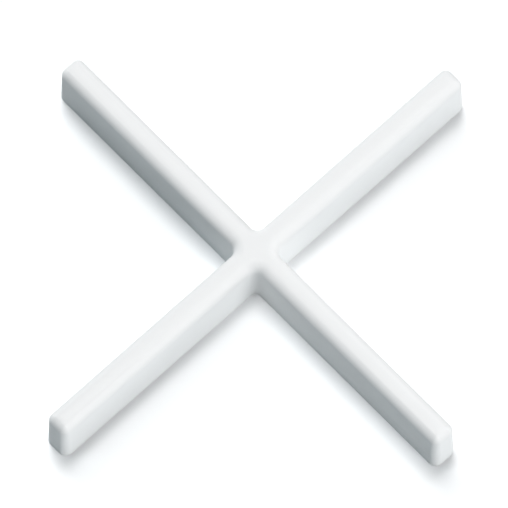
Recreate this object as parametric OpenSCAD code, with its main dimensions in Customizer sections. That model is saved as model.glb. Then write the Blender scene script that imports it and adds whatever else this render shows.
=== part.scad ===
// Cross-shaped tile spacer, moulded in one piece from white plastic.
// Four equal arms keep an even joint between the corners of four tiles. Each arm is a narrow,
// deep rib with drafted sides, a softly rounded top edge and a blunt rounded end, and the arms
// run into each other through fillets. The rounded top edge follows the whole outline.
// Origin at the middle of the flat underside, arms along X and Y, +Z up. Millimetres.

/* [Joint] */
// Width of the joint that the arms keep, measured across an arm at its base
joint_w = 2; // [1.2:0.1:5]

/* [Arms] */
// Distance from the middle of the crossing to the end of an arm, at its base
arm_reach = 18.5; // [8:0.1:40]
// Height of the spacer
spacer_h = 4.4; // [2.5:0.1:8]
// Radius of the upright corners at the end of an arm, at its base
end_r = 0.6; // [0.3:0.05:1.5]

/* [Edges] */
// Radius of the rounded top edge
top_r = 0.8; // [0.2:0.05:1.5]
// Radius of the upright fillets where two arms meet, at its base
inner_r = 0.5; // [0.1:0.05:3]
// Draft of the sides, in degrees from the upright
draft = 1.5; // [0:0.25:3]

/* [Hidden] */
$fn = 96;
// Flat that is always left along the crown of an arm and across its end
land = 0.06;
half_w = joint_w / 2;
// Both roundings are limited by the width of the arm
crown_r = min(top_r, (half_w - land / 2) * cos(draft) - spacer_h * sin(draft));
corner_r = min(end_r, half_w - land / 2);
// Middle of the crown rounding: how far it lies in from the foot of the side, and how high
crown_in = (crown_r + (spacer_h - crown_r) * sin(draft)) / cos(draft);
crown_z = spacer_h - crown_r;
// Where the straight arms begin, and where their end corners do
arm_start = half_w + inner_r;
arm_stop = arm_reach - corner_r;

// Upright section through one side, from u = 0 out to the foot of the side at u = foot
module side_profile(foot) {
    u = foot - crown_in;
    reach = 2 * crown_r;
    meet = [u + crown_r * cos(draft), crown_z + crown_r * sin(draft)];
    polygon([[0, 0], [foot, 0], meet, [u, crown_z], [u, spacer_h], [0, spacer_h]]);
    intersection() {
        translate([u, crown_z]) circle(crown_r);
        polygon([[u, crown_z], [u + reach * cos(draft), crown_z + reach * sin(draft)],
                 [u, crown_z + reach]]);
    }
}

// Whole section across an arm
module arm_section() {
    side_profile(half_w);
    mirror([1, 0]) side_profile(half_w);
}

// Section along an arm, rounded over at its end
module end_section() {
    side_profile(arm_reach);
}

// Upright corner at the end of an arm, a quarter turn of the side's section
module end_corner() {
    rotate_extrude(angle = 90)
        intersection() {
            translate([corner_r - half_w, 0]) side_profile(half_w);
            square([corner_r, spacer_h]);
        }
}

// Straight rib of one arm, with the rounding of its end taken across it
module arm_rib() {
    intersection() {
        translate([arm_start, 0, 0]) rotate([90, 0, 90])
            linear_extrude(arm_stop - arm_start) arm_section();
        translate([0, half_w, 0]) rotate([90, 0, 0])
            linear_extrude(joint_w) end_section();
    }
}

// Blunt end of one arm, between and with its two corners
module arm_end() {
    flat = half_w - corner_r;
    translate([0, flat, 0]) rotate([90, 0, 0])
        linear_extrude(2 * flat)
            intersection() {
                end_section();
                translate([arm_stop, 0]) square([corner_r, spacer_h]);
            }
    translate([arm_stop, flat, 0]) end_corner();
    translate([arm_stop, -flat, 0]) rotate([0, 0, -90]) end_corner();
}

// Space beside the crossing: what a quarter turn of the side's section leaves free
module inner_fillet_space() {
    rotate_extrude()
        difference() {
            square([arm_start, spacer_h]);
            translate([arm_start, 0]) mirror([1, 0]) side_profile(half_w);
        }
}

// Block where the arms cross, with a fillet scooped out of each corner
module crossing() {
    difference() {
        translate([-arm_start, -arm_start, 0]) cube([2 * arm_start, 2 * arm_start, spacer_h]);
        for (x = [-arm_start, arm_start], y = [-arm_start, arm_start])
            translate([x, y, 0]) inner_fillet_space();
    }
}

module spacer_cross() {
    color("white") {
        crossing();
        for (turn = [0:90:270])
            rotate([0, 0, turn]) {
                arm_rib();
                arm_end();
            }
    }
}

spacer_cross();
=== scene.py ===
from math import asin, cos, pi, radians, sin

import bmesh
import bpy
from mathutils import Matrix, Vector


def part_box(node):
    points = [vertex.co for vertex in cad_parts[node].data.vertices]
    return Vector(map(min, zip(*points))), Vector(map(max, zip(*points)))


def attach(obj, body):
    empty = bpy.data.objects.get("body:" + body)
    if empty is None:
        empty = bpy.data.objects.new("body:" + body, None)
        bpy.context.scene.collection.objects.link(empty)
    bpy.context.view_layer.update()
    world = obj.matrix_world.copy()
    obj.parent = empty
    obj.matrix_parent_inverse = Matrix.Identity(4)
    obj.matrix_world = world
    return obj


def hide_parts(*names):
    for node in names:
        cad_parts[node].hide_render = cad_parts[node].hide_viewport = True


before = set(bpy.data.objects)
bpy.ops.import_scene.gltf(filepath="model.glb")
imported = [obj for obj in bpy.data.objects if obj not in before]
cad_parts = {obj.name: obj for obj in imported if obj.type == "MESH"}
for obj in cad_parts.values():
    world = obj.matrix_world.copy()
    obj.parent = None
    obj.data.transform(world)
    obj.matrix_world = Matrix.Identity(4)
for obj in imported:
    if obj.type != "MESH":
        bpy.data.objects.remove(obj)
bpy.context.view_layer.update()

# The spacer. One cross of white thermoplastic, moulded in one shot: four equal ribs whose drafted
# sides let it out of the mould, a rounded crown that follows the whole outline, and blunt ends
# with small upright corners. Its flat underside lay against the plate of the mould.
MM = 0.001
highest_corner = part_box("spacer_cross")[1]
arm_reach = highest_corner.x
spacer_height = highest_corner.z
half_width = 1.0 * MM
crown_radius = 0.8 * MM
end_corner_radius = 0.6 * MM
inner_fillet_radius = 0.5 * MM
draft = radians(1.5)
# Steps round the crown below and above the height where an end corner comes to its point
crown_steps = 14
tip_steps = 6
corner_steps = 10
fillet_steps = 10
# Vertices closer than this are one
weld = 0.0001 * MM

# The crown rounding turns about a line this far in from the foot, at this height
crown_depth = (crown_radius + (spacer_height - crown_radius) * sin(draft)) / cos(draft)
crown_axis_height = spacer_height - crown_radius
arm_start = half_width + inner_fillet_radius
arm_stop = arm_reach - end_corner_radius
corner_y = half_width - end_corner_radius


def verts_of(geometry):
    return [part for part in geometry if isinstance(part, bmesh.types.BMVert)]


def edges_of(geometry):
    return [part for part in geometry if isinstance(part, bmesh.types.BMEdge)]


def drawn_out(bm, edges, move):
    """Extrudes a chain of edges, puts each new vertex at move(place) and returns the new edges."""
    new = bmesh.ops.extrude_edge_only(bm, edges=edges)["geom"]
    for vert in verts_of(new):
        vert.co = move(vert.co)
    return edges_of(new)


def spun(bm, geometry, centre, axis, angle, steps):
    """Turns vertices or edges about an axis and returns the last copy."""
    result = bmesh.ops.spin(bm, geom=geometry, cent=centre, axis=axis, angle=angle, steps=steps,
                            use_merge=False, use_duplicate=False)
    return result["geom_last"]


def side_section(bm):
    """Section of one side where the arm starts: the chain up to the corner's point, and the rest."""
    crown_axis = Vector((arm_start, half_width - crown_depth, crown_axis_height))
    outward = Vector((0, cos(draft), sin(draft)))
    foot = bm.verts.new((arm_start, half_width, 0))
    flank = bmesh.ops.extrude_vert_indiv(bm, verts=[foot])
    flank["verts"][0].co = crown_axis + outward * crown_radius
    # The arc is turned in two parts, so that a vertex lies as deep in as the end corner is round
    split = pi / 2 - asin((crown_depth - end_corner_radius) / crown_radius)
    lower = spun(bm, flank["verts"], crown_axis, (1, 0, 0), split - draft, crown_steps)
    low_edges = list(bm.edges)
    spun(bm, verts_of(lower), crown_axis, (1, 0, 0), pi / 2 - split, tip_steps)
    tip_edges = [edge for edge in bm.edges if edge not in low_edges]
    return low_edges, tip_edges


def spacer_mesh(name):
    bm = bmesh.new()
    low, tip = side_section(bm)
    # Half of one inner fillet, turned from the side of the arm to the diagonal of the crossing
    spun(bm, low + tip, (arm_start, arm_start, 0), (0, 0, 1), -pi / 4, fillet_steps)
    # One side of the arm: the upper part of the crown ends in the mitre above the end corner
    low_end = drawn_out(bm, low, lambda co: Vector((arm_stop, co.y, co.z)))
    tip_end = drawn_out(bm, tip, lambda co: Vector((arm_stop - corner_y + co.y, co.y, co.z)))
    # The upright end corner, and half of the blunt end
    corner_end = spun(bm, low_end, (arm_stop, corner_y, 0), (0, 0, 1), -pi / 2, corner_steps)
    drawn_out(bm, edges_of(corner_end) + tip_end, lambda co: Vector((co.x, 0, co.z)))
    # The other seven eighths of the cross, doubled three times
    for turn in (pi / 4, 0, pi / 2):
        bmesh.ops.remove_doubles(bm, verts=bm.verts, dist=weld)
        bmesh.ops.mirror(bm, geom=bm.verts[:] + bm.edges[:] + bm.faces[:],
                         matrix=Matrix.Rotation(turn, 4, "Z"), merge_dist=0, axis="X")
    bmesh.ops.remove_doubles(bm, verts=bm.verts, dist=weld)
    rims = [edge for edge in bm.edges if edge.is_boundary]
    bmesh.ops.holes_fill(bm, edges=rims, sides=0)
    bmesh.ops.recalc_face_normals(bm, faces=bm.faces)
    for face in bm.faces:
        face.smooth = True
    # The crown runs on smoothly into the flat on top, and the underside has a crisp edge
    for edge in rims:
        edge.smooth = edge.verts[0].co.z > spacer_height / 2
    mesh = bpy.data.meshes.new(name)
    bm.to_mesh(mesh)
    bm.free()
    return mesh


class Val:
    """A shader socket that takes part in expressions, each adding its Math node."""
    def __init__(self, nodes, socket):
        self.nodes, self.socket = nodes, socket

    def math(self, operation, first, second):
        return self.nodes.add("ShaderNodeMath", {"operation": operation}, {0: first, 1: second})[0]

    def __add__(self, other):
        return self.math("ADD", self, other)

    def __mul__(self, other):
        return self.math("MULTIPLY", self, other)

    __radd__ = __add__
    __rmul__ = __mul__


class Nodes:
    """The node tree of one material, emptied."""
    def __init__(self, owner):
        owner.use_nodes = True
        self.tree = owner.node_tree
        self.tree.nodes.clear()

    def add(self, kind, settings=None, inputs=None):
        """Adds a node, sets it, fills or links its inputs and returns its outputs."""
        node = self.tree.nodes.new(kind)
        for name, value in (settings or {}).items():
            setattr(node, name, value)
        for key, value in (inputs or {}).items():
            if isinstance(value, Val):
                self.tree.links.new(value.socket, node.inputs[key])
            else:
                node.inputs[key].default_value = value
        outputs = {index: Val(self, socket) for index, socket in enumerate(node.outputs)}
        outputs.update({socket.name: Val(self, socket) for socket in node.outputs})
        return outputs


# Patterns of the plastic, each as many to the metre: milky clouds, the swell that shrinkage leaves
# in the moulded skin, and the fine grain of the mould
clouds = 260.0
swells = 1100.0
grains = 9000.0
milky_white = (0.895, 0.900, 0.902, 1)
clear_white = (0.915, 0.920, 0.922, 1)
# Height of the swell, and the grain's as a share of it
relief_depth = 0.006 * MM
grain_share = 0.15
satin_roughness = 0.57
cloud_roughness = 0.06
grain_roughness = 0.04
# How far light runs on under the skin
light_depth = 0.3 * MM


def white_plastic():
    material = bpy.data.materials.new("white_plastic")
    nodes = Nodes(material)
    place = nodes.add("ShaderNodeTexCoord")["Object"]
    cloud = nodes.add("ShaderNodeTexNoise", {}, {"Vector": place, "Scale": clouds, "Detail": 2.0})
    grain = nodes.add("ShaderNodeTexNoise", {}, {"Vector": place, "Scale": grains, "Detail": 3.0})
    # Inputs 6 and 7 are the colours that are mixed, and output 2 is what they make
    colour = nodes.add("ShaderNodeMix", {"data_type": "RGBA"},
                       {0: cloud["Fac"], 6: milky_white, 7: clear_white})
    swell = nodes.add("ShaderNodeTexNoise", {}, {"Vector": place, "Scale": swells, "Detail": 1.0})
    relief = nodes.add("ShaderNodeBump", {}, {"Strength": 1.0, "Distance": relief_depth,
                                              "Height": swell["Fac"] + grain["Fac"] * grain_share})
    surface = nodes.add("ShaderNodeBsdfPrincipled", {}, {
        "Base Color": colour[2],
        "Roughness": (satin_roughness + cloud["Fac"] * cloud_roughness
                      + grain["Fac"] * grain_roughness),
        "Normal": relief["Normal"],
        "IOR": 1.49,
        "Specular IOR Level": 0.5,
        "Subsurface Weight": 0.2,
        "Subsurface Radius": (1.0, 1.0, 1.0),
        "Subsurface Scale": light_depth,
    })
    nodes.add("ShaderNodeOutputMaterial", {}, {"Surface": surface["BSDF"]})
    return material


spacer = bpy.data.objects.new("moulded_spacer", spacer_mesh("moulded_spacer"))
bpy.context.scene.collection.objects.link(spacer)
spacer.data.materials.append(white_plastic())
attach(spacer, "root")
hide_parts("spacer_cross")

# The floor. A plain sheet under the spacer. The camera and reflections see it as pure white
# paper, while the soft light that it sends back to the spacer is that of a darker, cool grey.
floor_half = 0.6
floor_bounce = (0.35, 0.41, 0.43, 1)
floor_white = (1.15, 1.16, 1.17, 1)


def paper_white():
    material = bpy.data.materials.new("white_floor")
    nodes = Nodes(material)
    ray = nodes.add("ShaderNodeLightPath")
    seen = ray["Is Camera Ray"] + ray["Is Glossy Ray"] + ray["Is Transmission Ray"]
    bounce = nodes.add("ShaderNodeBsdfDiffuse", {}, {"Color": floor_bounce})
    paper = nodes.add("ShaderNodeBsdfDiffuse", {}, {"Color": floor_white})
    mixed = nodes.add("ShaderNodeMixShader", {}, {0: seen, 1: bounce["BSDF"], 2: paper["BSDF"]})
    nodes.add("ShaderNodeOutputMaterial", {}, {"Surface": mixed["Shader"]})
    return material


bm = bmesh.new()
bmesh.ops.create_grid(bm, x_segments=1, y_segments=1, size=floor_half)
floor_mesh = bpy.data.meshes.new("floor")
bm.to_mesh(floor_mesh)
bm.free()
floor = bpy.data.objects.new("floor", floor_mesh)
bpy.context.scene.collection.objects.link(floor)
floor_mesh.materials.append(paper_white())

# The camera. A long lens that looks steeply down across the crossing, so that the arms run to
# the four corners of the picture. Turn is from the look along +Y to the photograph's.
camera_turn = radians(-43.3)
camera_elevation = radians(69.0)
camera_distance = 0.9
picture_width = 34.15 * MM
aim_right = -0.148 * MM
aim_up = 1.190 * MM
sensor_mm = 36.0

right = Vector((cos(camera_turn), sin(camera_turn), 0))
ahead = Vector((-right.y, right.x, 0))
back = Vector((0, 0, 1)) * sin(camera_elevation) - ahead * cos(camera_elevation)
up = back.cross(right)
eye = right * aim_right + up * aim_up + back * camera_distance

lens = bpy.data.cameras.new("camera")
lens.sensor_width = sensor_mm
lens.lens = sensor_mm * camera_distance / picture_width
lens.clip_start = camera_distance * 0.1
lens.clip_end = camera_distance * 10
camera = bpy.data.objects.new("camera", lens)
bpy.context.scene.collection.objects.link(camera)
camera.matrix_world = Matrix.Translation(eye) @ Matrix((right, up, back)).transposed().to_4x4()
bpy.context.scene.camera = camera

# The light. Soft lamps high behind the spacer and to its left, a weaker one in front, and pale
# cards low in front and to the right. Each has the side that it stands on, counted from the right
# of the picture, its height and width in degrees, its light on a surface facing it, and a tint.
plain = (1, 1, 1)
cool = (0.90, 1, 1.04)
lamps = {
    "high_back": (90, 72, 16, 0.280, plain),
    "top": (135, 82, 16, 0.220, plain),
    "back": (106, 50, 30, 0.265, plain),
    "low_back_left": (135, 25, 30, 0.123, plain),
    "left": (180, 50, 30, 0.128, cool),
    "front_right": (315, 25, 20, 0.100, plain),
    "front_right_card": (315, 5, 10, 0.468, plain),
    "right_card": (0, 5, 10, 0.125, plain),
    "back_right_card": (45, 5, 10, 0.087, plain),
    "front_card": (270, 5, 10, 0.085, plain),
}


def soft_lamp(name, side, height, width, strength, tint):
    flat = right * cos(radians(side)) + ahead * sin(radians(side))
    towards = flat * cos(radians(height)) + Vector((0, 0, 1)) * sin(radians(height))
    light = bpy.data.lights.new(name, "SUN")
    light.angle = radians(width)
    light.energy = pi * strength
    light.color = tint
    lamp = bpy.data.objects.new(name, light)
    lamp.rotation_euler = towards.to_track_quat("Z", "Y").to_euler()
    bpy.context.scene.collection.objects.link(lamp)


for name, lamp in lamps.items():
    soft_lamp(name, *lamp)

# A trace of light from all round the room
room_light = 0.01
surround = bpy.data.worlds.new("surround")
bpy.context.scene.world = surround
sky = Nodes(surround)
even = sky.add("ShaderNodeBackground", {}, {"Color": (1, 1, 1, 1), "Strength": room_light})
sky.add("ShaderNodeOutputWorld", {}, {"Surface": even["Background"]})
bpy.context.scene.view_settings.view_transform = "Standard"
